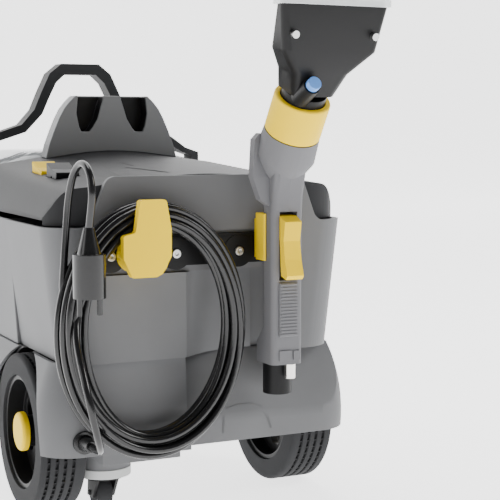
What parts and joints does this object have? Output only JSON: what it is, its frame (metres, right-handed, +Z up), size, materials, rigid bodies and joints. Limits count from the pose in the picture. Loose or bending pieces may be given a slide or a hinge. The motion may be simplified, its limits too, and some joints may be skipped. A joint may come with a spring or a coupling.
{
  "type": "carpet cleaner machine",
  "caption": "Wheeled spray-extraction carpet cleaner with lift-out waste tank, coiled mains lead on a swivel hook and a hand upholstery nozzle clipped to its back.",
  "frame": {"origin": "on the floor under the middle of the machine with its hand tool stowed", "axes": "+Z up, +Y towards the front with the hose socket, away from the back wall that carries the cord and tool; +X to the right seen from behind"},
  "size_m": [0.3372, 0.667, 0.505],
  "materials": {
    "body_grey": "fine satin texture",
    "dark_grey": "fine satin texture",
    "hump_grey": "satin",
    "black_plastic": "satin black",
    "tool_grey": "fine satin texture",
    "yellow": "smooth semi-gloss",
    "cord_black": "satin",
    "tyre_grey": "moulded rubber",
    "collar_grey": "smooth",
    "blue_cap": "smooth",
    "clear_mouth": "clear moulded plastic",
    "smoke_lid": "smoke clear plastic",
    "seal_rubber": "satin",
    "steel": "zinc plated",
    "nickel": "nickel plated",
    "motor_black": "satin",
    "mesh_grey": "moulded mesh",
    "float_white": "smooth"
  },
  "bodies": {
    "machine": {"fresh_tank": "body_grey", "base_housing": "body_grey", "wheel_liners": "black_plastic", "axle_brackets": "body_grey", "sump": "body_grey", "motor_cowl": "body_grey", "motor_housing": "motor_black", "pump": "black_plastic", "upper_shell": "dark_grey", "intake_hump": "hump_grey", "spray_outlet": "nickel", "rear_axle": "steel", "castor_collars": "collar_grey", "bracket_strip": "black_plastic", "bracket_screws": "steel", "tool_clip": "yellow", "cord_gland": "cord_black", "cord_coil": "cord_black", "cord_lead": "cord_black", "mains_plug": "cord_black"},
    "waste_tank": {"waste_tank": "dark_grey", "waste_floor": "dark_grey", "hose_socket": "black_plastic", "handle_pins": "steel", "fluff_filter": "mesh_grey", "lid_seal": "seal_rubber", "float_pipe": "mesh_grey"},
    "tank_lid": {"tank_lid": "smoke_lid"},
    "carry_handle": {"carry_handle": "dark_grey"},
    "float": {"float_ball": "float_white"},
    "impeller": {"impeller": "motor_black"},
    "suction_switch": {"suction_switch": "black_plastic"},
    "spray_switch": {"spray_switch": "yellow"},
    "wheel_left": {"tyre_left": "tyre_grey", "wheel_rim_left": "black_plastic", "hub_cap_left": "yellow"},
    "wheel_right": {"tyre_right": "tyre_grey", "wheel_rim_right": "black_plastic", "hub_cap_right": "yellow"},
    "cord_hook": {"cord_hook": "yellow"},
    "hand_tool": {"tool_shell_left": "tool_grey", "tool_shell_right": "tool_grey", "tool_fin": "tool_grey", "grip_insert": "tool_grey", "trigger_pin": "steel", "suction_stub": "black_plastic", "spray_coupling": "nickel", "nozzle_head": "black_plastic", "nozzle_mouth": "clear_mouth", "nozzle_screws": "steel", "spray_barrel": "black_plastic"},
    "trigger": {"trigger": "yellow"},
    "union_nut": {"union_nut": "yellow"},
    "spray_cap": {"spray_cap": "blue_cap"},
    "castor_1": {"castor_fork_1": "black_plastic"},
    "castor_roller_1": {"castor_wheel_1": "tyre_grey"},
    "castor_2": {"castor_fork_2": "black_plastic"},
    "castor_roller_2": {"castor_wheel_2": "tyre_grey"},
    "castor_3": {"castor_fork_3": "black_plastic"},
    "castor_roller_3": {"castor_wheel_3": "tyre_grey"}
  },
  "joints": [
    {"name": "waste_tank_lift", "type": "slide", "parent": "machine", "child": "waste_tank", "axis": [0, 0, 1], "range_m": [0, 0.15]},
    {"name": "lid_lift", "type": "slide", "parent": "waste_tank", "child": "tank_lid", "axis": [0, 0, 1], "range_m": [0, 0.006]},
    {"name": "handle_swing", "type": "hinge", "parent": "waste_tank", "child": "carry_handle", "pos_m": [0, 0.2035, 0.326], "axis": [1, 0, 0], "range_deg": [-12, 12]},
    {"name": "float_rise", "type": "slide", "parent": "waste_tank", "child": "float", "axis": [0, 0, 1], "range_m": [0, 0.09]},
    {"name": "impeller_spin", "type": "hinge", "parent": "machine", "child": "impeller", "pos_m": [0, 0.0315, 0.24], "axis": [0, 0, 1], "continuous": true},
    {"name": "suction_switch_press", "type": "hinge", "parent": "machine", "child": "suction_switch", "pos_m": [-0.112, -0.0785, 0.338], "axis": [1, 0, 0], "range_deg": [0, 6]},
    {"name": "spray_switch_press", "type": "hinge", "parent": "machine", "child": "spray_switch", "pos_m": [-0.112, -0.0285, 0.338], "axis": [1, 0, 0], "range_deg": [0, 6]},
    {"name": "wheel_left_roll", "type": "hinge", "parent": "machine", "child": "wheel_left", "pos_m": [-0.138, -0.0755, 0.08], "axis": [1, 0, 0], "continuous": true},
    {"name": "wheel_right_roll", "type": "hinge", "parent": "machine", "child": "wheel_right", "pos_m": [0.138, -0.0755, 0.08], "axis": [1, 0, 0], "continuous": true},
    {"name": "hook_turn", "type": "hinge", "parent": "machine", "child": "cord_hook", "pos_m": [-0.079, -0.2085, 0.268], "axis": [0, 1, 0], "range_deg": [0, 180]},
    {"name": "tool_pull", "type": "slide", "parent": "machine", "child": "hand_tool", "axis": [0, -1, 0], "range_m": [0, 0.06]},
    {"name": "trigger_pull", "type": "hinge", "parent": "hand_tool", "child": "trigger", "pos_m": [0.063, -0.2245, 0.3], "axis": [1, 0, 0], "range_deg": [0, 8], "stiffness_Nm_per_rad": 0.3, "springref_deg": -11.46},
    {"name": "nut_turn", "type": "hinge", "parent": "hand_tool", "child": "union_nut", "pos_m": [0.063, -0.25558, 0.39936], "axis": [0, -0.5519, 0.8339], "continuous": true},
    {"name": "spray_cap_turn", "type": "hinge", "parent": "hand_tool", "child": "spray_cap", "pos_m": [0.051, -0.30736, 0.42692], "axis": [0, -0.9023, 0.4311], "range_deg": [0, 90]},
    {"name": "castor_1_swivel", "type": "hinge", "parent": "machine", "child": "castor_1", "pos_m": [-0.084, -0.1135, 0.04], "axis": [0, 0, 1], "continuous": true},
    {"name": "castor_1_roll", "type": "hinge", "parent": "castor_1", "child": "castor_roller_1", "pos_m": [-0.084, -0.1045, 0.016], "axis": [1, 0, 0], "continuous": true},
    {"name": "castor_2_swivel", "type": "hinge", "parent": "machine", "child": "castor_2", "pos_m": [-0.095, 0.2415, 0.04], "axis": [0, 0, 1], "continuous": true},
    {"name": "castor_2_roll", "type": "hinge", "parent": "castor_2", "child": "castor_roller_2", "pos_m": [-0.095, 0.2505, 0.016], "axis": [1, 0, 0], "continuous": true},
    {"name": "castor_3_swivel", "type": "hinge", "parent": "machine", "child": "castor_3", "pos_m": [0.095, 0.2415, 0.04], "axis": [0, 0, 1], "continuous": true},
    {"name": "castor_3_roll", "type": "hinge", "parent": "castor_3", "child": "castor_roller_3", "pos_m": [0.095, 0.2505, 0.016], "axis": [1, 0, 0], "continuous": true}
  ]
}
